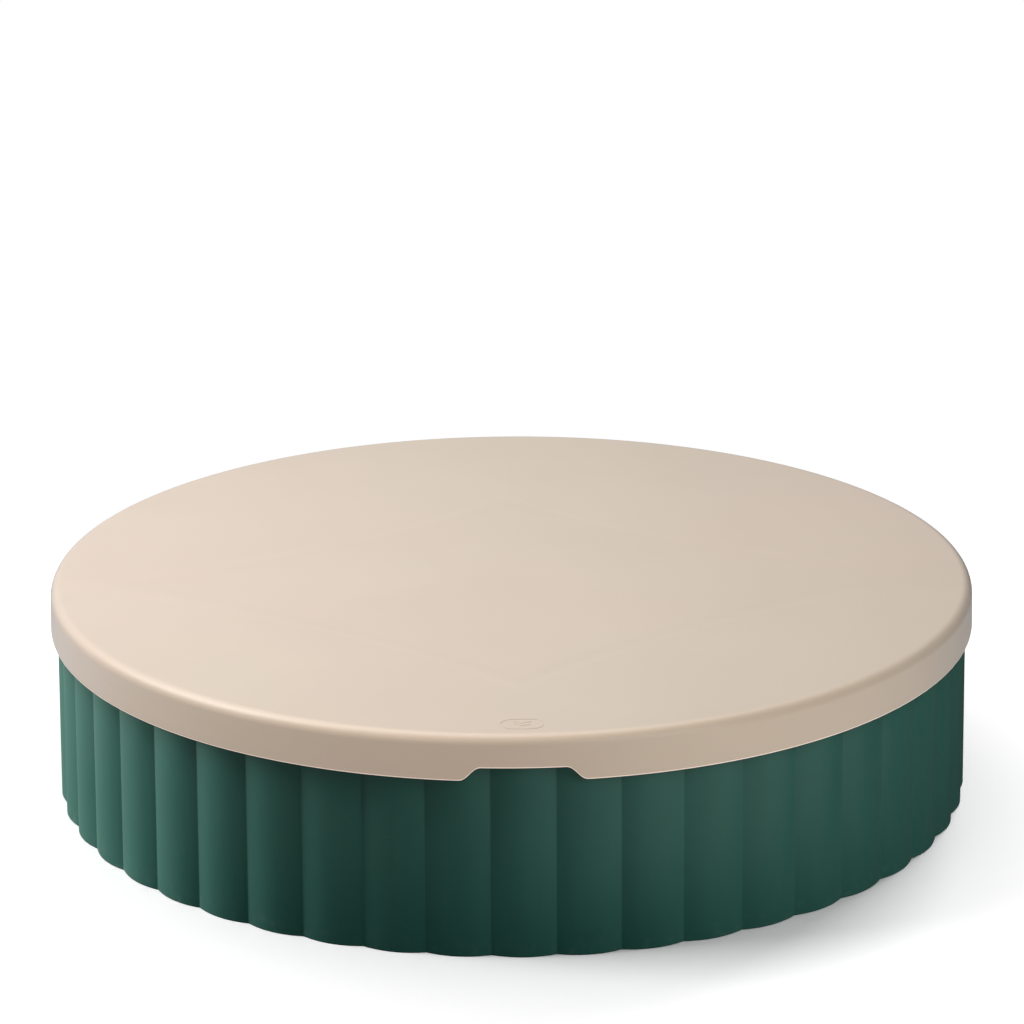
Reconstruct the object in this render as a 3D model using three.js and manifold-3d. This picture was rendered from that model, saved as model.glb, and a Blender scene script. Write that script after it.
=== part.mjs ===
// A round sandbox with a lift-off cover: a fluted tub and a flat lid, two plastic mouldings.
// Millimetres, +Z up. The origin is on the floor under the tub's centre, and the lid's finger
// notch faces -Y.

import * as THREE from 'three';
import { mergeVertices } from 'three/addons/utils/BufferGeometryUtils.js';
import Module from 'manifold-3d';

const wasm = await Module();
wasm.setup();

// ---------- driving dimensions ----------

const OVERALL_HEIGHT = 210;       // floor to the lid's top face
const WALL = 2.8;                 // moulded wall of both parts
const SEAT_GAP = 0.3;             // between the tub's rim and the lid resting on it

// Lid
const LID_TOP_RADIUS = 450.6;
const LID_SKIRT_BOTTOM_RADIUS = 451.6;
const LID_SKIRT_HEIGHT = 41.5;
const LID_EDGE_FILLET = 10;
const NOTCH_DEPTH = 12.1;         // finger notch, up from the skirt's edge
const NOTCH_FLAT_HALF = 36;       // half width of its level part
const NOTCH_OPEN_HALF = 58;       // half width where it meets the skirt's edge
const NOTCH_CUT_REACH = 14;       // of its cutter, inwards from outside the skirt
const LID_RIB_DEPTH = 9;
const LID_RIB_RADII = [130, 260];
const LID_RIB_COUNT = 12;
const LOCATING_RING_DEPTH = 14;   // drops inside the basin and keeps the lid centred
const LOCATING_RING_CLEARANCE = 3;

// Tub
const FLUTES = 48;
const VALLEY_RADIUS_AT_FLOOR = 443.7;
const FLUTE_HEIGHT = 4.8;         // crest above valley
const SKIRT_DRAFT_DEG = 1.1;      // the outer wall is wider at the floor
const BASIN_RADIUS_AT_RIM = 398;
const BASIN_DRAFT_DEG = 3;
const BASIN_CORNER_RADIUS = 14;   // inside, where wall meets floor
const FLOOR_TOP = 12;             // sand floor above the ground
const FOOT_RING_RADII = [130, 260, 378];
const FOOT_RIB_COUNT = 12;
const FOOT_PAD_RADIUS = 30;
const GUSSET_COUNT = 24;          // webs between the two walls, under the rim
const GUSSET_HEIGHT = 70;
const DRAIN_HOLES = 8;
const DRAIN_HOLE_RADIUS = 3;
const DRAIN_CIRCLE_RADIUS = 330;
const RIM_ROUND = 3;              // on both edges of the rim
const FOOT_RIB = 3;               // thickness of the ribs under the floor
const RIB = 2;                    // thickness of every other rib and web

// Facets
const ROUND = 72;                 // in a full turn
const LID_ROUND = 96;             // the same for the lid's edge
const RIB_ROUND = 48;             // and for the ring-shaped ribs
const PIN_ROUND = 12;             // and for a drain hole
const FLUTE_STEPS = 4;            // in one flute
const FILLET_STEPS = 4;           // in the lid's rounded edge
const CORNER_STEPS = 3;           // in the basin's rounded corner
const RIM_STEPS = 2;              // in the rim's rounded edges
const NOTCH_STEPS = 8;            // in each shoulder of the notch

// ---------- derived dimensions ----------

const LID_UNDERSIDE = OVERALL_HEIGHT - WALL;
const SKIRT_EDGE = OVERALL_HEIGHT - LID_SKIRT_HEIGHT;
const RIM_TOP = LID_UNDERSIDE - SEAT_GAP;
const FLOOR_UNDERSIDE = FLOOR_TOP - WALL;
const OVERLAP = 1;                // how far joined solids reach into each other

// ---------- helpers ----------

const degrees = (angle) => angle * Math.PI / 180;
const point = (x, y) => new THREE.Vector2(x, y);

// The solid that a closed three.js geometry bounds.
function solid(geometry) {
  const bare = geometry.clone();
  bare.deleteAttribute('normal');
  bare.deleteAttribute('uv');
  const merged = mergeVertices(bare);
  const corners = merged.index.array;
  const triangles = [];
  for (let i = 0; i < corners.length; i += 3) {
    const [a, b, c] = corners.subarray(i, i + 3);
    if (a !== b && b !== c && c !== a) triangles.push(a, b, c);
  }
  return new wasm.Manifold(new wasm.Mesh({
    numProp: 3,
    vertProperties: new Float32Array(merged.attributes.position.array),
    triVerts: new Uint32Array(triangles),
  }));
}

const joined = (solids) => solids.reduce((whole, next) => whole.add(next));

function meshOf(name, shape, material) {
  const { vertProperties, triVerts } = shape.getMesh();
  const geometry = new THREE.BufferGeometry();
  geometry.setAttribute('position', new THREE.BufferAttribute(vertProperties, 3));
  geometry.setIndex(new THREE.BufferAttribute(triVerts, 1));
  geometry.computeVertexNormals();
  const mesh = new THREE.Mesh(geometry, material);
  mesh.name = name;
  return mesh;
}

// A solid of revolution about Z. The profile runs anticlockwise in (radius, height).
function turned(profile, facets = ROUND) {
  return solid(new THREE.LatheGeometry(profile, facets).rotateX(Math.PI / 2));
}

function ring(innerRadius, outerRadius, bottom, top) {
  return turned([
    point(innerRadius, bottom),
    point(outerRadius, bottom),
    point(outerRadius, top),
    point(innerRadius, top),
    point(innerRadius, bottom),
  ], RIB_ROUND);
}

function disc(radius, bottom, top) {
  return turned([point(0, bottom), point(radius, bottom), point(radius, top), point(0, top)]);
}

// An outline extruded upwards from the height `bottom` to `top`, its end edges rounded by `round`.
function extruded(outline, bottom, top, round = 0) {
  const geometry = new THREE.ExtrudeGeometry(new THREE.Shape(outline), {
    depth: top - bottom - 2 * round,
    bevelEnabled: round > 0,
    bevelThickness: round,
    bevelSize: round,
    bevelOffset: -round,
    bevelSegments: RIM_STEPS,
  });
  return geometry.translate(0, 0, bottom + round);
}

// Upright plates on radial lines, evenly spaced from `firstAngle`. Each one is the outline, drawn
// anticlockwise in (radius, height), made `thickness` thick.
function radialPlates(outline, thickness, count, firstAngle) {
  const shape = new THREE.Shape(outline);
  const plate = new THREE.ExtrudeGeometry(shape, { depth: thickness, bevelEnabled: false });
  plate.rotateX(Math.PI / 2).translate(0, thickness / 2, 0);
  const plates = [];
  for (let i = 0; i < count; i += 1) {
    plates.push(solid(plate.clone().rotateZ(firstAngle + i * 2 * Math.PI / count)));
  }
  return joined(plates);
}

const rectangle = (from, to, bottom, top) => [
  point(from, bottom),
  point(to, bottom),
  point(to, top),
  point(from, top),
];

// Points of an arc in (radius, height), from one angle to another.
function arc(centreX, centreY, radius, fromDeg, toDeg, steps) {
  const points = [];
  for (let i = 0; i <= steps; i += 1) {
    const angle = degrees(fromDeg + (toDeg - fromDeg) * i / steps);
    points.push(point(centreX + radius * Math.cos(angle), centreY + radius * Math.sin(angle)));
  }
  return points;
}

// ---------- lid ----------

// Flat plate, rounded edge and hanging skirt, one wall thick throughout.
function lidShell() {
  const innerFillet = LID_EDGE_FILLET - WALL;
  const filletRadius = LID_TOP_RADIUS - LID_EDGE_FILLET;
  const filletHeight = OVERALL_HEIGHT - LID_EDGE_FILLET;
  const outside = arc(filletRadius, filletHeight, LID_EDGE_FILLET, 0, 90, FILLET_STEPS);
  const inside = arc(filletRadius, filletHeight, innerFillet, 90, 0, FILLET_STEPS - 1);
  return turned([
    point(0, LID_UNDERSIDE),
    ...inside,
    point(LID_SKIRT_BOTTOM_RADIUS - WALL, SKIRT_EDGE),
    point(LID_SKIRT_BOTTOM_RADIUS, SKIRT_EDGE),
    ...outside,
    point(0, OVERALL_HEIGHT),
  ], LID_ROUND);
}

// The finger notch: level in the middle, with an S-shaped shoulder down to the skirt's edge.
function notchCutter() {
  const top = SKIRT_EDGE + NOTCH_DEPTH;
  const middle = (NOTCH_FLAT_HALF + NOTCH_OPEN_HALF) / 2;
  const below = SKIRT_EDGE - NOTCH_DEPTH;
  const shape = new THREE.Shape();
  shape.moveTo(-NOTCH_OPEN_HALF, below);
  shape.lineTo(NOTCH_OPEN_HALF, below);
  shape.lineTo(NOTCH_OPEN_HALF, SKIRT_EDGE);
  shape.bezierCurveTo(middle, SKIRT_EDGE, middle, top, NOTCH_FLAT_HALF, top);
  shape.lineTo(-NOTCH_FLAT_HALF, top);
  shape.bezierCurveTo(-middle, top, -middle, SKIRT_EDGE, -NOTCH_OPEN_HALF, SKIRT_EDGE);
  const outermost = LID_SKIRT_BOTTOM_RADIUS + WALL;
  const cutter = new THREE.ExtrudeGeometry(shape, {
    depth: NOTCH_CUT_REACH,
    bevelEnabled: false,
    curveSegments: NOTCH_STEPS,
  });
  return solid(cutter.rotateX(Math.PI / 2).translate(0, NOTCH_CUT_REACH - outermost, 0));
}

// Ribs under the plate, and the ring that drops inside the basin.
function lidRibs() {
  const top = LID_UNDERSIDE + OVERLAP;
  const bottom = LID_UNDERSIDE - LID_RIB_DEPTH;
  const ringOuter = BASIN_RADIUS_AT_RIM - LOCATING_RING_CLEARANCE;
  const ringBottom = LID_UNDERSIDE - LOCATING_RING_DEPTH;
  const spoke = rectangle(LID_RIB_RADII[0] - RIB / 2, ringOuter - RIB / 2, bottom, top);
  return joined([
    ring(ringOuter - RIB, ringOuter, ringBottom, top),
    ...LID_RIB_RADII.map((radius) => ring(radius - RIB, radius, bottom, top)),
    radialPlates(spoke, RIB, LID_RIB_COUNT, Math.PI / LID_RIB_COUNT),
  ]);
}

function lid() {
  return lidShell().subtract(notchCutter()).add(lidRibs());
}

// ---------- tub ----------

// The scalloped outline at floor level: convex arcs that meet in sharp valleys, with a crest on
// each axis. `inset` moves every arc inwards by the same amount.
function flutedOutline(inset, steps) {
  const halfPitch = Math.PI / FLUTES;
  const halfChord = VALLEY_RADIUS_AT_FLOOR * Math.sin(halfPitch);
  const rise = FLUTE_HEIGHT + VALLEY_RADIUS_AT_FLOOR * (1 - Math.cos(halfPitch));
  const arcRadius = (halfChord ** 2 + rise ** 2) / (2 * rise);
  const centreRadius = VALLEY_RADIUS_AT_FLOOR + FLUTE_HEIGHT - arcRadius;
  const radius = arcRadius - inset;
  const sweep = halfPitch + Math.asin(centreRadius * Math.sin(halfPitch) / radius);
  const points = [];
  for (let flute = 0; flute < FLUTES; flute += 1) {
    const middle = flute * 2 * halfPitch;
    for (let step = 0; step < steps; step += 1) {
      const angle = middle + sweep * (2 * step / steps - 1);
      points.push(point(
        centreRadius * Math.cos(middle) + radius * Math.cos(angle),
        centreRadius * Math.sin(middle) + radius * Math.sin(angle),
      ));
    }
  }
  return points;
}

// The outer wall's size at a height, as a share of its size at the floor.
function draftScale(height) {
  return 1 - height * Math.tan(degrees(SKIRT_DRAFT_DEG)) / VALLEY_RADIUS_AT_FLOOR;
}

// Draws the geometry in towards the axis as it rises, by the outer wall's draft.
function drafted(geometry) {
  const position = geometry.attributes.position;
  for (let i = 0; i < position.count; i += 1) {
    const scale = draftScale(position.getZ(i));
    position.setXY(i, position.getX(i) * scale, position.getY(i) * scale);
  }
  return geometry;
}

// The basin's inside radius at a height.
function basinRadius(height) {
  return BASIN_RADIUS_AT_RIM - Math.tan(degrees(BASIN_DRAFT_DEG)) * (RIM_TOP - height);
}

// The fluted outer wall, open below, and the flat rim it carries.
function outerWallAndRim() {
  const below = -2 * RIM_ROUND;
  const block = extruded(flutedOutline(0, FLUTE_STEPS), below, RIM_TOP, RIM_ROUND);
  const hollow = extruded(flutedOutline(WALL, FLUTE_STEPS - 1), 2 * below, RIM_TOP - WALL);
  const opening = disc(BASIN_RADIUS_AT_RIM + RIM_ROUND, RIM_TOP - 2 * WALL, RIM_TOP + OVERLAP);
  const ground = disc(VALLEY_RADIUS_AT_FLOOR + FLUTE_HEIGHT + OVERLAP, 2 * below, 0);
  return solid(drafted(block)).subtract(solid(drafted(hollow))).subtract(opening).subtract(ground);
}

// The basin that holds the sand: a drafted wall, a rounded corner and a flat floor.
function basin() {
  const cornerHeight = FLOOR_TOP + BASIN_CORNER_RADIUS;
  const cornerCentre = basinRadius(cornerHeight) - BASIN_CORNER_RADIUS;
  const outerCorner = BASIN_CORNER_RADIUS + WALL;
  const edgeCentre = BASIN_RADIUS_AT_RIM + RIM_ROUND;
  return turned([
    point(0, FLOOR_UNDERSIDE),
    ...arc(cornerCentre, cornerHeight, outerCorner, -90, 0, CORNER_STEPS),
    point(BASIN_RADIUS_AT_RIM + WALL, RIM_TOP - WALL),
    point(edgeCentre + OVERLAP, RIM_TOP - WALL),
    point(edgeCentre + OVERLAP, RIM_TOP),
    ...arc(edgeCentre, RIM_TOP - RIM_ROUND, RIM_ROUND, 90, 180, RIM_STEPS),
    ...arc(cornerCentre, cornerHeight, BASIN_CORNER_RADIUS, 0, -90, CORNER_STEPS),
    point(0, FLOOR_TOP),
  ]);
}

// Rings, ribs and a centre pad under the floor carry the sand's weight to the ground.
function footRibs() {
  const top = FLOOR_UNDERSIDE + OVERLAP;
  const outermost = FOOT_RING_RADII[FOOT_RING_RADII.length - 1];
  const spoke = rectangle(FOOT_PAD_RADIUS - OVERLAP, outermost - FOOT_RIB / 2, 0, top);
  return joined([
    disc(FOOT_PAD_RADIUS, 0, top),
    ...FOOT_RING_RADII.map((radius) => ring(radius - FOOT_RIB, radius, 0, top)),
    radialPlates(spoke, FOOT_RIB, FOOT_RIB_COUNT, Math.PI / FOOT_RIB_COUNT),
  ]);
}

// Webs that tie the outer wall to the basin under the rim, each one behind a valley. Their edges
// lie in the middle of the two walls.
function gussets() {
  const top = RIM_TOP - WALL / 2;
  const bottom = RIM_TOP - GUSSET_HEIGHT;
  const inner = (height) => basinRadius(height) + WALL / 2;
  const outer = (height) => (VALLEY_RADIUS_AT_FLOOR - WALL / 2) * draftScale(height);
  const web = [
    point(inner(bottom), bottom),
    point(outer(bottom), bottom),
    point(outer(top), top),
    point(inner(top), top),
  ];
  return radialPlates(web, RIB, GUSSET_COUNT, Math.PI / FLUTES);
}

function drainHoles() {
  const depth = FLOOR_TOP + OVERLAP;
  const pin = new THREE.CylinderGeometry(DRAIN_HOLE_RADIUS, DRAIN_HOLE_RADIUS, depth, PIN_ROUND);
  pin.rotateX(Math.PI / 2).translate(DRAIN_CIRCLE_RADIUS, 0, FLOOR_TOP);
  const pins = [];
  for (let i = 0; i < DRAIN_HOLES; i += 1) {
    pins.push(solid(pin.clone().rotateZ(i * 2 * Math.PI / DRAIN_HOLES)));
  }
  return joined(pins);
}

function tub() {
  return joined([outerWallAndRim(), basin(), gussets(), footRibs()]).subtract(drainHoles());
}

// ---------- materials and assembly ----------

const sandPlastic = new THREE.MeshStandardMaterial({ color: 0xdfd0c0, roughness: 0.5, metalness: 0 });
const greenPlastic = new THREE.MeshStandardMaterial({ color: 0x1f4b42, roughness: 0.45, metalness: 0 });

const sandbox = new THREE.Group();
sandbox.add(meshOf('tub', tub(), greenPlastic));
sandbox.add(meshOf('lid', lid(), sandPlastic));

export default sandbox;
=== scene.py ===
"""A round sandbox with a lift-off cover: smooth mouldings, plastics, light and camera, built
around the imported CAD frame. Metres, +Z up, the lid's finger notch facing -Y."""

import math

import bmesh
import bpy
import numpy as np
from mathutils import Matrix, Vector


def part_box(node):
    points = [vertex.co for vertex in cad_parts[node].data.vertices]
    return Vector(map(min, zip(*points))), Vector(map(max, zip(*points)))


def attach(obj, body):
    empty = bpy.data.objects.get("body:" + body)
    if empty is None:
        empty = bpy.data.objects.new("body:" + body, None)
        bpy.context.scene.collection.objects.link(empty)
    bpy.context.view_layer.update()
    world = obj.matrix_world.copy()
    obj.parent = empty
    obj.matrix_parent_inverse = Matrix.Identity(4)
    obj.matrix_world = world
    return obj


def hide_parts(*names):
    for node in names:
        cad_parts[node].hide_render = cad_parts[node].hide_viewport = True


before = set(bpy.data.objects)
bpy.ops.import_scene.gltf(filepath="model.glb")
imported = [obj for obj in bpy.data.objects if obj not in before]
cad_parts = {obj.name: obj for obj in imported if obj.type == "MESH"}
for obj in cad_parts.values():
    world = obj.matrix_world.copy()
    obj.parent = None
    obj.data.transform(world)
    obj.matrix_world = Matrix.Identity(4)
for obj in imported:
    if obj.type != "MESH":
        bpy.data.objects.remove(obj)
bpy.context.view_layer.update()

# ---------- sizes taken from the frame ----------

_, tub_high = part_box("tub")
lid_low, lid_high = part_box("lid")

RIM_TOP = tub_high.z
CREST_RADIUS = tub_high.x            # of the flutes, at the floor
LID_TOP = lid_high.z
SKIRT_EDGE = lid_low.z
SKIRT_RADIUS = lid_high.x            # of the lid's skirt, at its edge

# ---------- design sizes, as in the CAD ----------

MM = 0.001
WALL = 2.8 * MM

FLUTES = 48
FLUTE_HEIGHT = 4.8 * MM
SKIRT_DRAFT = math.radians(1.1)
VALLEY_ROUND = 0.4 * MM
RIM_ROUND = 3 * MM
FLOOR_EDGE_ROUND = 1.1 * MM
BASIN_RADIUS = 398 * MM              # at the rim
BASIN_DRAFT = math.radians(3)
BASIN_CORNER = 14 * MM
BASIN_FLOOR = 12 * MM
FOOT_RING_RADII = [130 * MM, 260 * MM, 378 * MM]
FOOT_PAD_RADIUS = 30 * MM
FOOT_RIBS = 12
FOOT_RIB_WIDTH = 3 * MM
GUSSETS = 24
GUSSET_HEIGHT = 70 * MM
DRAIN_HOLES = 8
DRAIN_HOLE_RADIUS = 3 * MM
DRAIN_CIRCLE_RADIUS = 330 * MM
DRAIN_HOLE_EASE = 0.6 * MM

LID_RADIUS = 450.6 * MM              # below the rounded edge
LID_FILLET = 10 * MM
LIP_ROUND = 1.3 * MM
MARK_PLACE = -421 * MM               # of the lift mark's middle, towards the notch
MARK_WIDTH = 39 * MM
MARK_DEPTH = 24 * MM
MARK_LINE = 1.3 * MM
MARK_ENGRAVING = 0.3 * MM
NOTCH_DEPTH = 12.1 * MM
NOTCH_FLAT_HALF = 36 * MM
NOTCH_OPEN_HALF = 58 * MM
LID_RIB_RADII = [130 * MM, 260 * MM]
LID_RIBS = 12
LID_RIB_DEPTH = 9 * MM
LOCATING_RING_RADIUS = 395 * MM
LOCATING_RING_DEPTH = 14 * MM
RIB_WIDTH = 2 * MM
GATES = [                            # where the lid's plastic came in, the middle one first
    (0, -43 * MM),
    (186 * MM, 204 * MM),
    (-186 * MM, 204 * MM),
    (220 * MM, -323 * MM),
    (-220 * MM, -323 * MM),
]
WELD_LEADS = [-78 * MM, -67 * MM]    # how much nearer the outer gates are along the weld lines
WELD_RIDGE = 16 * MM                 # the ridge and the band fade out this far to either side
WELD_BAND = 18 * MM
BACK_SEAM = 5 * MM                   # where the plastic from the two rear gates met
GATE_RADIUS = 2.5 * MM
GATE_PIP = 0.7 * MM
GATE_DIMPLE = 0.12 * MM
EJECTOR_CIRCLES = [195 * MM, 330 * MM]
EJECTOR_RADIUS = 5 * MM
EJECTOR_MARK = 0.15 * MM

FRONT = -math.pi / 2                 # the direction of the notch and of one flute's crest

# ---------- light ----------

AMBIENT = 0.1
LIP_HIGHLIGHT_COLOUR = (0.95, 0.76, 0.66)      # painted highlight and glow colour of the skirt's rounded edge
LIP_GLOW = 0.35
GLOW_RADIUS = 1.2                    # of the paper that lights the part from below
GLOW_LENGTH = 1.2
GLOW_WIDTH = 0.9
GLOW_HEIGHT = 4 * MM
GLOW_COLOUR = (1.0, 0.98, 0.97)
ROSE = (1.0, 0.85, 0.86)
WARM = (1.0, 0.985, 0.95)
COOL = (0.985, 1.0, 1.03)
FLOOR_HALF_SIDE = 20
FLOOR_FADE_START = 650 * MM          # the paper is over-exposed further out
FLOOR_FADE_END = 900 * MM

# ---------- camera ----------

CAMERA_DISTANCE = 3.24688            # along the floor, from the part's axis
CAMERA_HEIGHT = 1.32799
CAMERA_AZIMUTH = -1.2267             # degrees to the right of the notch
CAMERA_TURN = (1.2462, 18.1016, -0.3252)    # degrees right, down and about the line of sight
CAMERA_LENS = 122.594                # millimetres
CAMERA_SENSOR = 36


# ---------- mesh helpers ----------

def object_from(name, vertices, faces):
    mesh = bpy.data.meshes.new(name)
    mesh.from_pydata(vertices, [], faces)
    mesh.update()
    piece = bpy.data.objects.new(name, mesh)
    bpy.context.scene.collection.objects.link(piece)
    return piece


def swept_shell(name, rows, angles):
    """A closed skin swept once round Z. Each row gives (radius, height) arrays over the angles.
    The first and last rows stand on the axis, and become one point each."""
    count = len(angles)
    cosine, sine = np.cos(angles), np.sin(angles)
    middle = rows[1:-1]
    rings = [np.column_stack([r * cosine, r * sine, z + 0 * r]) for r, z in middle]
    vertices = np.vstack(rings + [[0, 0, rows[0][1]], [0, 0, rows[-1][1]]])
    start, end = len(vertices) - 2, len(vertices) - 1
    here = np.arange(count)
    following = (here + 1) % count
    faces = [(start, int(a), int(b)) for a, b in zip(here, following)]
    for row in range(len(middle) - 1):
        near, far = row * count, (row + 1) * count
        quads = np.column_stack([near + here, far + here, far + following, near + following])
        faces += [tuple(int(corner) for corner in quad) for quad in quads]
    last = (len(middle) - 1) * count
    faces += [(end, int(last + b), int(last + a)) for a, b in zip(here, following)]
    return object_from(name, vertices.tolist(), faces)


def extruded_ring(name, section, count):
    """A closed (radius, height) section turned once round Z."""
    angles = np.arange(count) * 2 * math.pi / count
    size = len(section)
    vertices = [(r * math.cos(a), r * math.sin(a), z) for a in angles for r, z in section]
    faces = []
    for i in range(count):
        for j in range(size):
            here, beside = i * size, (i + 1) % count * size
            after = (j + 1) % size
            faces.append((here + j, beside + j, beside + after, here + after))
    return object_from(name, vertices, faces)


def loft(first, last):
    """Vertices and faces of the solid between two matching closed outlines."""
    size = len(first)
    faces = [tuple(range(size)), tuple(reversed(range(size, 2 * size)))]
    for j in range(size):
        after = (j + 1) % size
        faces.append((j, size + j, size + after, after))
    return list(first) + list(last), faces


def slab(outline, bottom, top):
    """An (x, y) outline made into an upright solid."""
    return loft([(x, y, bottom) for x, y in outline], [(x, y, top) for x, y in outline])


def circle(x, y, radius, steps):
    turns = np.arange(steps) * 2 * math.pi / steps
    return [(x + radius * math.cos(t), y + radius * math.sin(t)) for t in turns]


def turned_copies(name, vertices, faces, count, first_angle):
    """The same solid repeated evenly round Z, as one object."""
    every_vertex, every_face = [], []
    for i in range(count):
        turn = Matrix.Rotation(first_angle + i * 2 * math.pi / count, 4, "Z")
        offset = len(every_vertex)
        every_vertex += [tuple(turn @ Vector(v)) for v in vertices]
        every_face += [tuple(offset + corner for corner in face) for face in faces]
    return object_from(name, every_vertex, every_face)


def tidy_normals(piece):
    mesh = bmesh.new()
    mesh.from_mesh(piece.data)
    bmesh.ops.recalc_face_normals(mesh, faces=mesh.faces)
    mesh.to_mesh(piece.data)
    mesh.free()


def combine(piece, other, operation):
    """Joins or cuts `piece` with `other`, which is used up."""
    tidy_normals(other)
    modifier = piece.modifiers.new("combine", "BOOLEAN")
    modifier.operation = operation
    modifier.solver = "MANIFOLD"
    modifier.object = other
    result = bpy.data.meshes.new_from_object(
        piece.evaluated_get(bpy.context.evaluated_depsgraph_get())
    )
    piece.modifiers.remove(modifier)
    piece.data = result
    bpy.data.objects.remove(other)


def shade_smooth(piece, sharp_degrees=32):
    """Smooth shading everywhere but across edges sharper than the given angle."""
    mesh = bmesh.new()
    mesh.from_mesh(piece.data)
    limit = math.radians(sharp_degrees)
    for face in mesh.faces:
        face.smooth = True
    for edge in mesh.edges:
        edge.smooth = edge.is_manifold and edge.calc_face_angle() < limit
    mesh.to_mesh(piece.data)
    mesh.free()
    weighted = piece.modifiers.new("flat faces stay flat", "WEIGHTED_NORMAL")
    weighted.keep_sharp = True


def arc(centre_radius, centre_height, radius, start, end, steps):
    """(radius, height) points of an arc, from one angle in degrees to another."""
    turns = np.radians(np.linspace(start, end, steps + 1))
    return [(centre_radius + radius * math.cos(t), centre_height + radius * math.sin(t))
            for t in turns]


def smooth_step(t):
    t = np.clip(t, 0, 1)
    return t ** 3 * (10 - 15 * t + 6 * t ** 2)


# ---------- tub ----------

def draft_scale(height):
    """The outer wall's size at a height, as a share of its size at the floor."""
    return 1 - height * math.tan(SKIRT_DRAFT) / (CREST_RADIUS - FLUTE_HEIGHT)


def flute_radius(angles, inset, height):
    """Radius of the fluted wall, moved in by `inset`: arcs that meet in narrow valleys."""
    half_pitch = math.pi / FLUTES
    valley = CREST_RADIUS - FLUTE_HEIGHT
    half_chord = valley * math.sin(half_pitch)
    rise = FLUTE_HEIGHT + valley * (1 - math.cos(half_pitch))
    arc_radius = (half_chord ** 2 + rise ** 2) / (2 * rise)
    centre = CREST_RADIUS - arc_radius
    from_crest = np.abs((angles / (2 * half_pitch) + 0.5) % 1 - 0.5) * 2 * half_pitch
    from_valley = np.hypot(half_pitch - from_crest, VALLEY_ROUND / valley)
    turn = half_pitch - from_valley
    reach = np.sqrt((arc_radius - inset) ** 2 - (centre * np.sin(turn)) ** 2)
    return (centre * np.cos(turn) + reach) * draft_scale(height)


def flute_angles():
    """Angles round the tub, closer together beside each valley."""
    pitch = 2 * math.pi / FLUTES
    beside_valley = np.array([0, 0.006, 0.014, 0.03, 0.06])
    across = np.linspace(0.12, 0.88, 10)
    share = np.concatenate([beside_valley, across, 1 - beside_valley[:0:-1]])
    return (np.arange(FLUTES)[:, None] * pitch + (share - 0.5) * pitch).ravel()


def basin_radius(height):
    return BASIN_RADIUS - math.tan(BASIN_DRAFT) * (RIM_TOP - height)


def tub_rows(angles):
    """The tub's skin from the middle of the sand floor, over the rim and back underneath."""
    ones = np.ones(len(angles))
    rows = []

    def round_rows(points):
        rows.extend((r * ones, z) for r, z in points)

    def fluted_rows(points):
        rows.extend((flute_radius(angles, inset, z), z) for inset, z in points)

    corner_height = BASIN_FLOOR + BASIN_CORNER
    corner_centre = basin_radius(corner_height) - BASIN_CORNER
    rim_edge = BASIN_RADIUS + RIM_ROUND
    under_rim = RIM_TOP - WALL
    under_round = 1.5 * MM

    round_rows([(0, BASIN_FLOOR)])
    round_rows((r, BASIN_FLOOR) for r in (40 * MM, 140 * MM, 260 * MM, 350 * MM))
    round_rows(arc(corner_centre, corner_height, BASIN_CORNER, -90, -math.degrees(BASIN_DRAFT), 8))
    round_rows((basin_radius(z), z) for z in np.linspace(60 * MM, 190 * MM, 5))
    round_rows(arc(rim_edge, RIM_TOP - RIM_ROUND, RIM_ROUND, 180, 90, 5))
    outer = flute_radius(angles, RIM_ROUND, RIM_TOP)
    for share in (0.1, 0.5, 0.9):
        rows.append((rim_edge + (outer - rim_edge) * share, RIM_TOP))
    fluted_rows((RIM_ROUND * (1 - math.sin(t)), RIM_TOP - RIM_ROUND * (1 - math.cos(t)))
                for t in np.radians(np.linspace(0, 90, 6)))
    fluted_rows((0, z) for z in np.linspace(190 * MM, 15 * MM, 8))
    fluted_rows((FLOOR_EDGE_ROUND * (1 - math.cos(t)), FLOOR_EDGE_ROUND * (1 - math.sin(t)))
                for t in np.radians(np.linspace(0, 90, 4)))
    inner_edge = FLOOR_EDGE_ROUND / 2
    fluted_rows((WALL - inner_edge * (1 - math.sin(t)), inner_edge * (1 - math.cos(t)))
                for t in np.radians(np.linspace(0, 90, 3)))
    fluted_rows((WALL, z) for z in np.linspace(20 * MM, 195 * MM, 6))
    fluted_rows((WALL + under_round * (1 - math.cos(t)), under_rim - under_round * (1 - math.sin(t)))
                for t in np.radians(np.linspace(0, 90, 4)))
    outer = flute_radius(angles, WALL + under_round, under_rim)
    inner_corner = basin_radius(under_rim) + WALL + under_round
    for share in (0.9, 0.5):
        rows.append((inner_corner + (outer - inner_corner) * share, under_rim))
    round_rows(arc(inner_corner, under_rim - under_round, under_round, 90, 180, 3))
    round_rows((basin_radius(z) + WALL, z) for z in np.linspace(180 * MM, 60 * MM, 5))
    round_rows(arc(corner_centre, corner_height, BASIN_CORNER + WALL,
                   -math.degrees(BASIN_DRAFT), -90, 8))
    under_floor = BASIN_FLOOR - WALL
    round_rows((r, under_floor) for r in (350 * MM, 260 * MM, 140 * MM, 40 * MM))
    round_rows([(0, under_floor)])
    return rows


def drafted_section(middle, width, foot, root, edge=0.4 * MM):
    """A rib's section: `width` at its foot, a little wider at its root, with eased foot edges."""
    inward = 1 if root > foot else -1
    wide = width / 2 + abs(root - foot) * math.tan(math.radians(1))
    half = width / 2
    return [
        (middle - half + edge, foot),
        (middle + half - edge, foot),
        (middle + half, foot + edge * inward),
        (middle + wide, root),
        (middle - wide, root),
        (middle - half, foot + edge * inward),
    ]


def radial_bars(name, section, inner, outer, count, first_angle):
    """Straight ribs on radial lines, from their (across, height) section."""
    solid = loft([(inner, y, z) for y, z in section], [(outer, y, z) for y, z in section])
    return turned_copies(name, *solid, count, first_angle)


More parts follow.
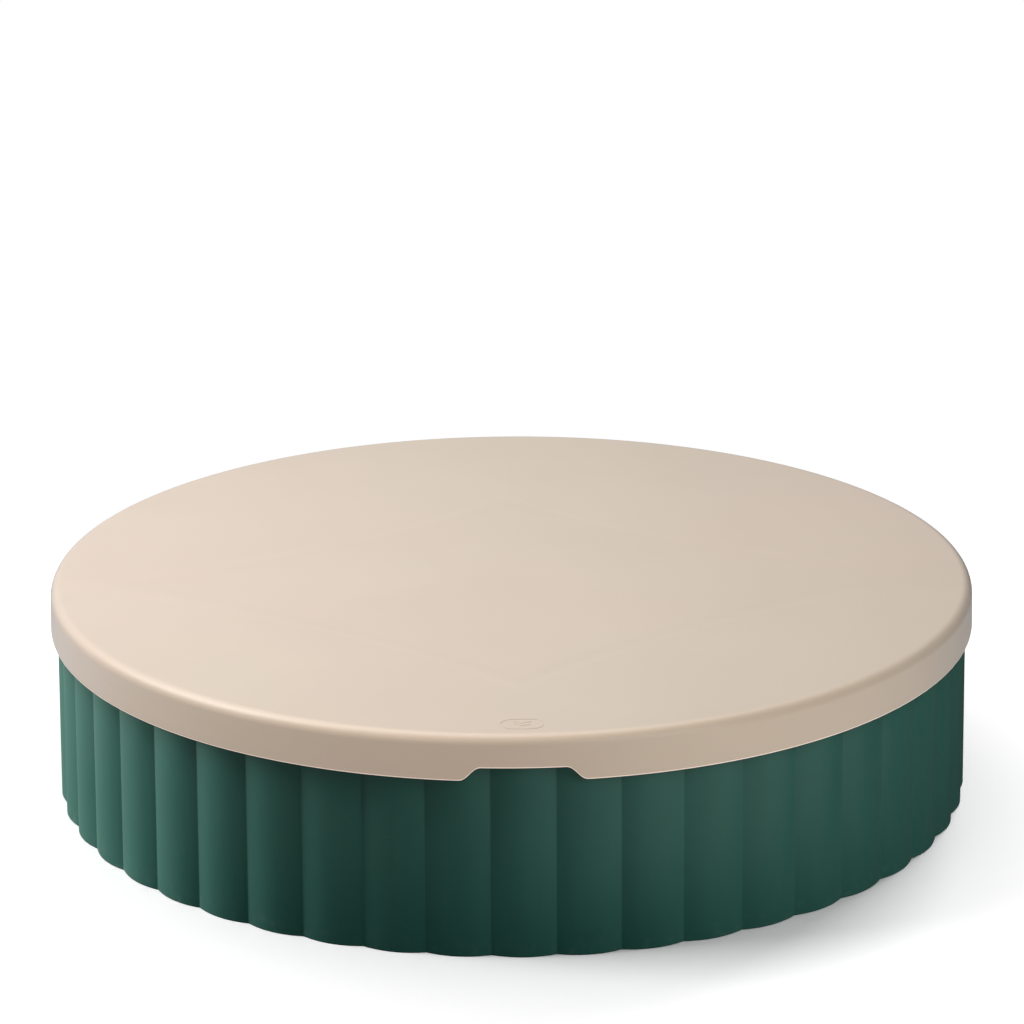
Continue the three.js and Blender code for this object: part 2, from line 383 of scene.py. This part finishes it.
def add_foot_ribs(tub):
    root = BASIN_FLOOR - WALL / 2
    for radius in FOOT_RING_RADII:
        section = drafted_section(radius - FOOT_RIB_WIDTH / 2, FOOT_RIB_WIDTH, 0, root)
        combine(tub, extruded_ring("ring", section, 288), "UNION")
    pad = [(0, 0), (FOOT_PAD_RADIUS - MM, 0), (FOOT_PAD_RADIUS, MM), (FOOT_PAD_RADIUS, root), (0, root)]
    angles = np.arange(96) * 2 * math.pi / 96
    ones = np.ones(len(angles))
    combine(tub, swept_shell("pad", [(r * ones, z) for r, z in pad], angles), "UNION")
    section = drafted_section(0, FOOT_RIB_WIDTH, 0, root)
    outer = FOOT_RING_RADII[-1] - FOOT_RIB_WIDTH / 2
    ribs = radial_bars("ribs", section, FOOT_PAD_RADIUS - MM, outer, FOOT_RIBS, math.pi / FOOT_RIBS)
    combine(tub, ribs, "UNION")


def add_gussets(tub):
    top = RIM_TOP - WALL / 2
    bottom = RIM_TOP - GUSSET_HEIGHT
    valley = CREST_RADIUS - FLUTE_HEIGHT - WALL / 2
    web = [
        (basin_radius(bottom) + WALL / 2, bottom),
        (valley * draft_scale(bottom), bottom),
        (valley * draft_scale(top), top),
        (basin_radius(top) + WALL / 2, top),
    ]
    half = RIB_WIDTH / 2
    plate = loft([(r, -half, z) for r, z in web], [(r, half, z) for r, z in web])
    combine(tub, turned_copies("webs", *plate, GUSSETS, math.pi / FLUTES), "UNION")


def cut_drain_holes(tub):
    """Holes through the sand floor, each with an eased edge on the sand's side."""
    pin = slab(circle(DRAIN_CIRCLE_RADIUS, 0, DRAIN_HOLE_RADIUS, 32), -MM, BASIN_FLOOR + MM)
    combine(tub, turned_copies("holes", *pin, DRAIN_HOLES, 0), "DIFFERENCE")
    wide = circle(DRAIN_CIRCLE_RADIUS, 0, DRAIN_HOLE_RADIUS + 2 * DRAIN_HOLE_EASE, 32)
    narrow = circle(DRAIN_CIRCLE_RADIUS, 0, DRAIN_HOLE_RADIUS, 32)
    above, below = BASIN_FLOOR + DRAIN_HOLE_EASE, BASIN_FLOOR - DRAIN_HOLE_EASE
    cone = loft([(x, y, below) for x, y in narrow], [(x, y, above) for x, y in wide])
    combine(tub, turned_copies("countersinks", *cone, DRAIN_HOLES, 0), "DIFFERENCE")


def make_tub():
    angles = flute_angles()
    tub = swept_shell("tub_moulding", tub_rows(angles), angles)
    tidy_normals(tub)
    add_foot_ribs(tub)
    add_gussets(tub)
    cut_drain_holes(tub)
    shade_smooth(tub)
    return tub


# ---------- lid ----------

def lid_angles():
    """Angles round the lid, a millimetre apart across the finger notch."""
    notch = (NOTCH_OPEN_HALF + 4 * MM) / SKIRT_RADIUS
    across_notch = np.linspace(-notch, notch, 125)
    elsewhere = np.linspace(notch, 2 * math.pi - notch, 481)[1:-1]
    return FRONT + np.concatenate([across_notch, elsewhere])


def skirt_edge(angles):
    """Height of the skirt's edge, raised over the finger notch."""
    turn = (angles - FRONT + math.pi) % (2 * math.pi) - math.pi
    along = np.abs(turn) * SKIRT_RADIUS
    share = (NOTCH_OPEN_HALF - along) / (NOTCH_OPEN_HALF - NOTCH_FLAT_HALF)
    return SKIRT_EDGE + NOTCH_DEPTH * smooth_step(share)


def lid_rows(angles):
    """The lid's skin from the middle of its top, round the skirt's edge and back underneath."""
    ones = np.ones(len(angles))
    edge = skirt_edge(angles)
    fillet_radius = LID_RADIUS - LID_FILLET
    fillet_height = LID_TOP - LID_FILLET
    flare = (SKIRT_RADIUS - LID_RADIUS) / (fillet_height - SKIRT_EDGE)
    under = LID_TOP - WALL
    inner_lip = 0.6 * LIP_ROUND
    rows = []

    def round_rows(points):
        rows.extend((r * ones, z * ones) for r, z in points)

    def skirt_rows(inset, clearance, shares):
        for share in shares:
            height = fillet_height + (edge + clearance - fillet_height) * share
            rows.append((LID_RADIUS - inset + flare * (fillet_height - height), height))

    def lip_rows(inset, lip, start, end):
        """A quarter round at the skirt's edge, `inset` to `inset + lip` in from its outside."""
        for t in np.radians(np.linspace(start, end, 4)):
            height = edge + lip * (1 - math.sin(t))
            outside = LID_RADIUS + flare * (fillet_height - height)
            rows.append((outside - inset - lip * (1 - math.cos(t)), height))

    rows.append((0 * ones, LID_TOP))
    round_rows((r, LID_TOP) for r in (30 * MM, 120 * MM, 240 * MM, 350 * MM, 425 * MM, 439 * MM))
    round_rows(arc(fillet_radius, fillet_height, LID_FILLET, 90, 0, 12))
    skirt_rows(0, LIP_ROUND, (0.2, 0.5, 0.8))
    lip_rows(0, LIP_ROUND, 0, 90)
    for t in np.radians(np.linspace(90, 0, 4)):
        height = edge + inner_lip * (1 - math.sin(t))
        outside = LID_RADIUS + flare * (fillet_height - height)
        rows.append((outside - WALL + inner_lip * (1 - math.cos(t)), height))
    skirt_rows(WALL, inner_lip, (0.8, 0.5, 0.2))
    round_rows(arc(fillet_radius, fillet_height, LID_FILLET - WALL, 0, 90, 6))
    round_rows((r, under) for r in (425 * MM, 350 * MM, 240 * MM, 120 * MM, 30 * MM))
    rows.append((0 * ones, under))
    return rows


def add_lid_ribs(lid):
    root = LID_TOP - WALL / 2
    under = LID_TOP - WALL
    for radius in LID_RIB_RADII:
        section = drafted_section(radius - RIB_WIDTH / 2, RIB_WIDTH, under - LID_RIB_DEPTH, root)
        combine(lid, extruded_ring("ring", section, 240), "UNION")
    middle = LOCATING_RING_RADIUS - RIB_WIDTH / 2
    section = drafted_section(middle, RIB_WIDTH, under - LOCATING_RING_DEPTH, root)
    combine(lid, extruded_ring("locating", section, 360), "UNION")
    section = drafted_section(0, RIB_WIDTH, under - LID_RIB_DEPTH, root)
    inner = LID_RIB_RADII[0] - RIB_WIDTH / 2
    ribs = radial_bars("ribs", section, inner, middle, LID_RIBS, math.pi / LID_RIBS)
    combine(lid, ribs, "UNION")


def stadium(width, depth, steps=16):
    """A slot-shaped outline about the origin, its round ends to the left and right."""
    radius = depth / 2
    reach = width / 2 - radius
    turns = np.radians(np.linspace(-90, 90, steps + 1))
    right = [(reach + radius * math.cos(t), radius * math.sin(t)) for t in turns]
    return right + [(-x, -y) for x, y in right]


def chevron(half_width, rise, line):
    """A bent bar whose point is towards -Y, about the origin."""
    return [
        (-half_width, rise / 2),
        (0, -rise / 2),
        (half_width, rise / 2),
        (half_width, rise / 2 + line),
        (0, -rise / 2 + line),
        (-half_width, rise / 2 + line),
    ]


def engrave_lift_mark(lid):
    """A shallow outline with two chevrons that point at the finger notch."""
    bottom, top = LID_TOP - MARK_ENGRAVING, LID_TOP + MM

    def placed(outline, along=0.0):
        return [(x, MARK_PLACE + along + y) for x, y in outline]

    outer = placed(stadium(MARK_WIDTH, MARK_DEPTH))
    inner = placed(stadium(MARK_WIDTH - 2 * MARK_LINE, MARK_DEPTH - 2 * MARK_LINE))
    groove = object_from("groove", *slab(outer, bottom, top))
    tidy_normals(groove)
    combine(groove, object_from("island", *slab(inner, bottom - MM, top + MM)), "DIFFERENCE")
    combine(lid, groove, "DIFFERENCE")
    for along in (-3.2 * MM, 2.6 * MM):
        arrow = placed(chevron(MARK_WIDTH / 5, 4.5 * MM, 1.4 * MARK_LINE), along)
        combine(lid, object_from("arrow", *slab(arrow, bottom, top)), "DIFFERENCE")


def add_moulding_marks(lid):
    """Gate pips and ejector marks under the plate, and the dimple above the middle gate."""
    under = LID_TOP - WALL
    for x, y in GATES:
        pip = slab(circle(x, y, GATE_RADIUS, 24), under - GATE_PIP, under + MM)
        combine(lid, object_from("pip", *pip), "UNION")
    dimple = slab(circle(*GATES[0], GATE_RADIUS, 24), LID_TOP - GATE_DIMPLE, LID_TOP + MM)
    combine(lid, object_from("dimple", *dimple), "DIFFERENCE")
    for radius in EJECTOR_CIRCLES:
        disc = slab(circle(radius, 0, EJECTOR_RADIUS, 32), under - MM, under + EJECTOR_MARK)
        combine(lid, turned_copies("ejectors", *disc, LID_RIBS, 0), "DIFFERENCE")


def make_lid():
    angles = lid_angles()
    lid = swept_shell("lid_moulding", lid_rows(angles), angles)
    tidy_normals(lid)
    add_lid_ribs(lid)
    add_moulding_marks(lid)
    engrave_lift_mark(lid)
    shade_smooth(lid)
    return lid


# ---------- materials ----------

class Recipe:
    """A material's node tree, built call by call. Inputs are numbers, colours or sockets."""

    def __init__(self, name):
        self.material = bpy.data.materials.new(name)
        self.material.use_nodes = True
        self.tree = self.material.node_tree
        self.surface = self.tree.nodes["Principled BSDF"]
        self.place = self.node("TexCoord").outputs["Object"]

    def feed(self, socket, value):
        if isinstance(value, bpy.types.NodeSocket):
            self.tree.links.new(value, socket)
        elif socket.type == "RGBA":
            socket.default_value = (*value, 1)
        else:
            socket.default_value = value

    def node(self, kind, inputs=None, **settings):
        node = self.tree.nodes.new("ShaderNode" + kind)
        for setting, value in settings.items():
            setattr(node, setting, value)
        for key, value in (inputs or {}).items():
            self.feed(node.inputs[key], value)
        return node

    def math(self, operation, first, second=0.0):
        return self.node("Math", {0: first, 1: second}, operation=operation).outputs[0]

    def distance(self, first, second):
        return self.node("VectorMath", {0: first, 1: second}, operation="DISTANCE").outputs["Value"]

    def stretched(self, *factors):
        return self.node("VectorMath", {0: self.place, 1: factors}, operation="MULTIPLY").outputs[0]

    def noise(self, scale, detail=2.0, place=None, distortion=0.0):
        inputs = {"Vector": place or self.place, "Scale": scale, "Detail": detail,
                  "Distortion": distortion}
        return self.node("TexNoise", inputs).outputs["Fac"]

    def step(self, value, start, end):
        """0 at `start` and 1 at `end`, smooth between; `start` may be the larger."""
        inputs = {"Value": value, "From Min": start, "From Max": end}
        return self.node("MapRange", inputs, interpolation_type="SMOOTHSTEP").outputs[0]

    def line(self, value, width):
        """1 where the value is 0, fading out at `width` either side."""
        return self.step(self.math("ABSOLUTE", value), width, 0)

    def spread(self, value, low, high):
        """A 0 to 1 value laid out between two others."""
        return self.node("MapRange", {"Value": value, "To Min": low, "To Max": high}).outputs[0]

    def blend(self, first, second, share):
        inputs = {"Factor": share, "A": first, "B": second}
        mix = self.tree.nodes.new("ShaderNodeMix")
        mix.data_type = "RGBA"
        for socket in mix.inputs:
            if socket.enabled and socket.name in inputs:
                self.feed(socket, inputs[socket.name])
        return next(socket for socket in mix.outputs if socket.enabled)

    def product(self, *values):
        result = values[0]
        for value in values[1:]:
            result = self.math("MULTIPLY", result, value)
        return result

    def total(self, *values):
        result = values[0]
        for value in values[1:]:
            result = self.math("ADD", result, value)
        return result

    def scaled(self, colour, factor):
        inputs = {0: colour, "Scale": factor}
        return self.node("VectorMath", inputs, operation="SCALE").outputs[0]

    def scratches(self, scale, width, coverage, distortion):
        """Thin curved lines, `width` wide, on a share of the surface."""
        warp = self.node("TexNoise", {"Vector": self.place, "Scale": scale * 0.6, "Detail": 1.0})
        offset = self.scaled(warp.outputs["Color"], distortion)
        moved = self.node("VectorMath", {0: self.place, 1: offset}, operation="ADD").outputs[0]
        cells = self.node("TexVoronoi", {"Vector": moved, "Scale": scale},
                          feature="DISTANCE_TO_EDGE").outputs["Distance"]
        line = self.step(cells, width * scale, 0)
        patch = self.step(self.noise(scale * 1.7, 3.0), 1 - coverage, 1.05 - coverage)
        return self.product(line, patch)

    def specks(self, scale, radius, share):
        """Small round spots in a share of the cells of a grid with `scale` cells a metre."""
        cells = self.node("TexVoronoi", {"Vector": self.place, "Scale": scale})
        spot = self.step(cells.outputs["Distance"], radius * scale, radius * scale * 0.5)
        chosen = self.math("GREATER_THAN", cells.outputs["Color"], 1 - share)
        return self.product(spot, chosen)

    def relief(self, *layers):
        """Bump from (height from 0 to 1, depth in metres) layers."""
        heights = [self.math("MULTIPLY", height, depth / MM) for height, depth in layers]
        return self.node("Bump", {"Height": self.total(*heights), "Distance": MM}).outputs["Normal"]

    def finish(self, colour, roughness, normal, specular):
        self.feed(self.surface.inputs["Base Color"], colour)
        self.feed(self.surface.inputs["Roughness"], roughness)
        self.feed(self.surface.inputs["Normal"], normal)
        self.feed(self.surface.inputs["Specular IOR Level"], specular)
        return self.material


def painted_grazing_sheen(recipe, colour, pale, amount):
    """Painted sheen: paler the more sideways the surface is seen, in place of reflected light."""
    facing = recipe.node("LayerWeight", {"Blend": 0.5}).outputs["Facing"]
    share = recipe.product(facing, facing, amount)
    return recipe.blend(colour, pale, share)


def green_plastic():
    """Dark green polypropylene: satin, faintly streaked by the flow, scuffed near the floor."""
    recipe = Recipe("green_plastic")
    height = recipe.node("SeparateXYZ", {0: recipe.place}).outputs["Z"]
    clouds = recipe.noise(7, 3.0)
    flow = recipe.noise(60, 2.0, recipe.stretched(1, 1, 0.1))
    smudges = recipe.step(recipe.noise(17, 4.0, distortion=0.6), 0.6, 0.75)
    grain = recipe.noise(900, 2.0)
    scuffs = recipe.scratches(22, 0.35 * MM, 0.35, 0.03)
    near_floor = recipe.step(height, 26 * MM, 1 * MM)
    rubbed = recipe.product(near_floor, recipe.step(recipe.noise(130, 4.0), 0.52, 0.68))

    shade = recipe.product(
        recipe.spread(clouds, 0.9, 1.1),
        recipe.spread(flow, 0.94, 1.06),
        recipe.spread(smudges, 1, 0.93),
        recipe.spread(grain, 0.96, 1.04),
    )
    colour = recipe.blend((0.0216, 0.1065, 0.0800), (0.0260, 0.1175, 0.0925), clouds)
    colour = recipe.scaled(colour, shade)
    worn = recipe.math("MAXIMUM", recipe.product(scuffs, 0.10), recipe.product(rubbed, 0.05))
    colour = recipe.blend(colour, (0.27, 0.38, 0.34), worn)
    # painted sheen: the green turns paler towards a grazing view, in place of reflected light
    colour = painted_grazing_sheen(recipe, colour, (0.14, 0.236, 0.206), 0.25)
    roughness = recipe.total(
        recipe.spread(clouds, 0.38, 0.46),
        recipe.product(smudges, 0.05),
        recipe.product(rubbed, 0.15),
        recipe.product(scuffs, 0.08),
    )
    normal = recipe.relief(
        (grain, 0.012 * MM), (flow, 0.01 * MM), (recipe.noise(16, 1.0), 0.12 * MM),
        (scuffs, -0.02 * MM),
    )
    return recipe.finish(colour, roughness, normal, 0.3)


def weld_lines(recipe):
    """Where the plastic from the middle gate met the plastic from the other four: a faint star.
    Returns its light ridge and the darker band beside it."""
    x, y, z = recipe.node("SeparateXYZ", {0: recipe.place}).outputs
    flat = recipe.node("CombineXYZ", {"X": x, "Y": y}).outputs[0]
    folded = recipe.node("CombineXYZ", {"X": recipe.math("ABSOLUTE", x), "Y": y}).outputs[0]
    from_middle = recipe.distance(flat, (*GATES[0], 0))
    ridge = recipe.product(recipe.line(x, BACK_SEAM), recipe.step(y, 185 * MM, 215 * MM), 0.5)
    band = 0.0
    for gate, lead in zip(GATES[1::2], WELD_LEADS):
        ahead = recipe.math("SUBTRACT", recipe.distance(folded, (*gate, 0)), from_middle)
        ahead = recipe.math("SUBTRACT", ahead, lead)
        here = recipe.line(recipe.math("ADD", ahead, 4 * MM), WELD_RIDGE)
        ridge = recipe.math("MAXIMUM", ridge, here)
        beside = recipe.line(recipe.math("SUBTRACT", ahead, 20 * MM), WELD_BAND)
        band = recipe.math("MAXIMUM", band, beside)
    on_top = recipe.step(z, LID_TOP - 2 * MM, LID_TOP - 0.5 * MM)
    strength = recipe.product(on_top, recipe.step(recipe.noise(7, 2.0), 0.25, 0.6))
    return recipe.product(ridge, strength), recipe.product(band, strength)


def painted_lip_highlight(recipe, colour):
    """The skirt's rounded edge: a painted highlight where it faces down, and a painted glow of
    the same colour, in place of light from the paper caught on the edge."""
    direction = recipe.node("NewGeometry").outputs["Normal"]
    downward = recipe.node("SeparateXYZ", {0: direction}).outputs["Z"]
    x, y, _ = recipe.node("SeparateXYZ", {0: recipe.place}).outputs
    radius = recipe.math("SQRT", recipe.total(recipe.product(x, x), recipe.product(y, y)))
    at_edge = recipe.step(radius, SKIRT_RADIUS - 5 * MM, SKIRT_RADIUS - 3 * MM)
    share = recipe.product(recipe.step(downward, 0, -0.15), at_edge)
    # painted glow: the edge emits its pale colour though it is no lamp
    recipe.feed(recipe.surface.inputs["Emission Color"], LIP_HIGHLIGHT_COLOUR)
    recipe.feed(recipe.surface.inputs["Emission Strength"], recipe.product(share, LIP_GLOW))
    return recipe.blend(colour, LIP_HIGHLIGHT_COLOUR, share)


def sand_plastic():
    """Sand-coloured polypropylene: satin, softly clouded, with weld lines and a few scuffs."""
    recipe = Recipe("sand_plastic")
    clouds = recipe.noise(6, 3.0, distortion=0.4)
    drift = recipe.noise(3.1, 1.0)
    streaks = recipe.noise(26, 3.0, recipe.stretched(0.35, 1, 1), distortion=0.8)
    grain = recipe.noise(900, 2.0)
    ridge, band = weld_lines(recipe)
    scuffs = recipe.scratches(15, 0.4 * MM, 0.38, 0.05)
    pale_specks = recipe.specks(14, 1.1 * MM, 0.12)
    dark_specks = recipe.specks(19, 0.8 * MM, 0.12)

    shade = recipe.product(
        recipe.spread(clouds, 0.975, 1.025),
        recipe.spread(streaks, 0.985, 1.015),
        recipe.spread(ridge, 1, 1.016),
        recipe.spread(band, 1, 0.984),
        recipe.spread(grain, 0.985, 1.015),
    )
    colour = recipe.blend((0.675, 0.525, 0.404), (0.655, 0.525, 0.398), recipe.step(drift, 0.35, 0.65))
    colour = recipe.scaled(colour, shade)
    colour = recipe.blend(colour, (0.78, 0.68, 0.58), recipe.product(scuffs, 0.12))
    colour = recipe.blend(colour, (0.95, 0.90, 0.85), recipe.product(pale_specks, 0.5))
    colour = recipe.blend(colour, (0.42, 0.33, 0.26), recipe.product(dark_specks, 0.25))
    # painted sheen: the sand colour turns paler towards a grazing view, in place of reflected light
    colour = painted_grazing_sheen(recipe, colour, (0.505, 0.51, 0.505), 0.66)
    # painted highlight and glow on the skirt's rounded edge
    colour = painted_lip_highlight(recipe, colour)
    roughness = recipe.total(
        recipe.spread(clouds, 0.40, 0.50),
        recipe.product(ridge, -0.03),
        recipe.product(scuffs, 0.06),
    )
    normal = recipe.relief(
        (grain, 0.012 * MM), (clouds, 0.15 * MM), (ridge, 0.02 * MM), (scuffs, -0.02 * MM),
    )
    return recipe.finish(colour, roughness, normal, 0.56)


# ---------- floor, light and camera ----------

def floor_material():
    """Bright studio paper: it shows the part's shadow near the part, and white further out. To
    everything but the camera it is a plain dark grey, so that it sends almost no light back."""
    recipe = Recipe("floor")
    out = recipe.tree.nodes["Material Output"]
    radius = recipe.distance(recipe.place, (0, 0, 0))
    far = recipe.step(radius, FLOOR_FADE_START, FLOOR_FADE_END)
    fibres = recipe.spread(recipe.noise(160, 4.0), 0.985, 1.015)
    lit = recipe.node("BsdfDiffuse", {"Color": recipe.scaled((1, 1, 1), fibres)})
    white = recipe.node("Emission", {"Color": (1, 1, 1), "Strength": 1.0})
    seen = recipe.node("MixShader", {0: far, 1: lit.outputs[0], 2: white.outputs[0]})
    bounce = recipe.node("BsdfDiffuse", {"Color": (0.03, 0.03, 0.03)})
    by_camera = recipe.node("LightPath").outputs["Is Camera Ray"]
    final = recipe.node("MixShader", {0: by_camera, 1: bounce.outputs[0], 2: seen.outputs[0]})
    recipe.feed(out.inputs["Surface"], final.outputs[0])
    recipe.tree.nodes.remove(recipe.surface)
    return recipe.material


def make_floor():
    side = FLOOR_HALF_SIDE
    corners = [(-side, -side, 0), (side, -side, 0), (side, side, 0), (-side, side, 0)]
    floor = object_from("floor", corners, [(0, 1, 2, 3)])
    floor.data.materials.append(floor_material())
    return floor


def softbox(name, azimuth, elevation, distance, side, power, colour=(1, 1, 1)):
    """A soft square light aimed at the part. Azimuth 0 is +X and -90 is the notch's side."""
    data = bpy.data.lights.new(name, "AREA")
    data.shape = "SQUARE"
    data.size = side
    data.energy = power
    data.color = colour
    lamp = bpy.data.objects.new(name, data)
    target = Vector((0, 0, LID_TOP / 2))
    turn, tilt = math.radians(azimuth), math.radians(elevation)
    away = Vector((math.cos(turn) * math.cos(tilt), math.sin(turn) * math.cos(tilt), math.sin(tilt)))
    lamp.location = target + away * distance
    lamp.rotation_mode = "QUATERNION"
    lamp.rotation_quaternion = away.to_track_quat("Z", "Y")
    bpy.context.scene.collection.objects.link(lamp)
    return lamp


def floor_glow(name, azimuth, power):
    """Light thrown up from the bright paper on one side of the part."""
    data = bpy.data.lights.new(name, "AREA")
    data.shape = "RECTANGLE"
    data.size, data.size_y = GLOW_LENGTH, GLOW_WIDTH
    data.color = GLOW_COLOUR
    data.energy = power
    lamp = bpy.data.objects.new(name, data)
    turn = math.radians(azimuth)
    lamp.location = (GLOW_RADIUS * math.cos(turn), GLOW_RADIUS * math.sin(turn), GLOW_HEIGHT)
    lamp.rotation_euler = (math.pi, 0, turn)
    lamp.visible_camera = False
    bpy.context.scene.collection.objects.link(lamp)
    return lamp


def light_only(piece, lamps):
    """Keeps the lamps' direct light to one piece."""
    for lamp in lamps:
        receivers = bpy.data.collections.new(lamp.name)
        receivers.objects.link(piece)
        lamp.light_linking.receiver_collection = receivers


def make_lights(tub, lid, floor):
    """Soft light from the left and the front right, balanced for each piece. The paper has lights
    of its own from both sides, which leave a short shadow between them at the front right."""
    light_only(lid, [
        softbox("lid_front_right", -60, 15, 2.6, 1.3, 17.6),
        softbox("lid_left", 180, 45, 2.6, 1.3, 48.8, COOL),
        softbox("lid_left_high", 180, 68, 2.4, 1.5, 15.5, COOL),
        softbox("lid_high", 90, 80, 2.4, 1.8, 25, WARM),
        floor_glow("lid_glow_front_left", -120, 3.0),
        floor_glow("lid_glow_front_right", -60, 3.7),
        floor_glow("lid_glow_right_front", -30, 1.4),
        floor_glow("lid_glow_right", 0, 2.0),
        floor_glow("lid_glow_left", 180, 3.4),
    ])
    light_only(tub, [
        softbox("tub_front_high", -60, 45, 2.6, 1.3, 14.5),
        softbox("tub_front_right", -35, 15, 2.6, 1.3, 15.5),
        softbox("tub_left", 165, 15, 2.6, 1.3, 110, ROSE),
        softbox("tub_left_high", 180, 68, 2.4, 1.5, 103),
        floor_glow("tub_glow_front_left", -120, 1.1),
        floor_glow("tub_glow_front_right", -60, 2.9),
    ])
    light_only(floor, [
        softbox("paper_left", -170, 45, 2.6, 1.0, 42),
        softbox("paper_right", 50, 45, 2.6, 1.0, 41),
        softbox("paper_fill", 0, 90, 2.2, 5.0, 77),
    ])


def make_world():
    """A white room to the camera and a dim one to everything else."""
    world = bpy.data.worlds.new("studio")
    world.use_nodes = True
    nodes = world.node_tree.nodes
    links = world.node_tree.links
    dim = nodes["Background"]
    dim.inputs["Color"].default_value = (1, 1, 1, 1)
    dim.inputs["Strength"].default_value = AMBIENT
    white = nodes.new("ShaderNodeBackground")
    white.inputs["Color"].default_value = (1, 1, 1, 1)
    path = nodes.new("ShaderNodeLightPath")
    mix = nodes.new("ShaderNodeMixShader")
    links.new(path.outputs["Is Camera Ray"], mix.inputs[0])
    links.new(dim.outputs[0], mix.inputs[1])
    links.new(white.outputs[0], mix.inputs[2])
    links.new(mix.outputs[0], nodes["World Output"].inputs["Surface"])
    bpy.context.scene.world = world


def make_camera():
    """The photograph's viewpoint: a long lens, a little above the object and almost square to
    the notch."""
    azimuth = math.radians(CAMERA_AZIMUTH)
    yaw, pitch, roll = (math.radians(degrees) for degrees in CAMERA_TURN)
    ahead = Vector((math.sin(yaw) * math.cos(pitch), math.cos(yaw) * math.cos(pitch), -math.sin(pitch)))
    level = Vector((math.cos(yaw), -math.sin(yaw), 0))
    above = level.cross(ahead)
    right = level * math.cos(roll) + above * math.sin(roll)
    up = above * math.cos(roll) - level * math.sin(roll)
    data = bpy.data.cameras.new("camera")
    data.lens = CAMERA_LENS
    data.sensor_width = CAMERA_SENSOR
    camera = bpy.data.objects.new("camera", data)
    side, back = math.sin(azimuth) * CAMERA_DISTANCE, -math.cos(azimuth) * CAMERA_DISTANCE
    place = Vector((side, back, CAMERA_HEIGHT))
    axes = Matrix((right, up, -ahead)).transposed().to_4x4()
    camera.matrix_world = Matrix.Translation(place) @ axes
    bpy.context.scene.collection.objects.link(camera)
    bpy.context.scene.camera = camera


# ---------- the scene ----------

def add_piece(piece, node, material):
    piece.data.materials.clear()
    piece.data.materials.append(material)
    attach(piece, node)
    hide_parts(node)
    return piece


tub = add_piece(make_tub(), "tub", green_plastic())
lid = add_piece(make_lid(), "lid", sand_plastic())
make_lights(tub, lid, make_floor())
make_world()
make_camera()
bpy.context.scene.view_settings.view_transform = "Standard"
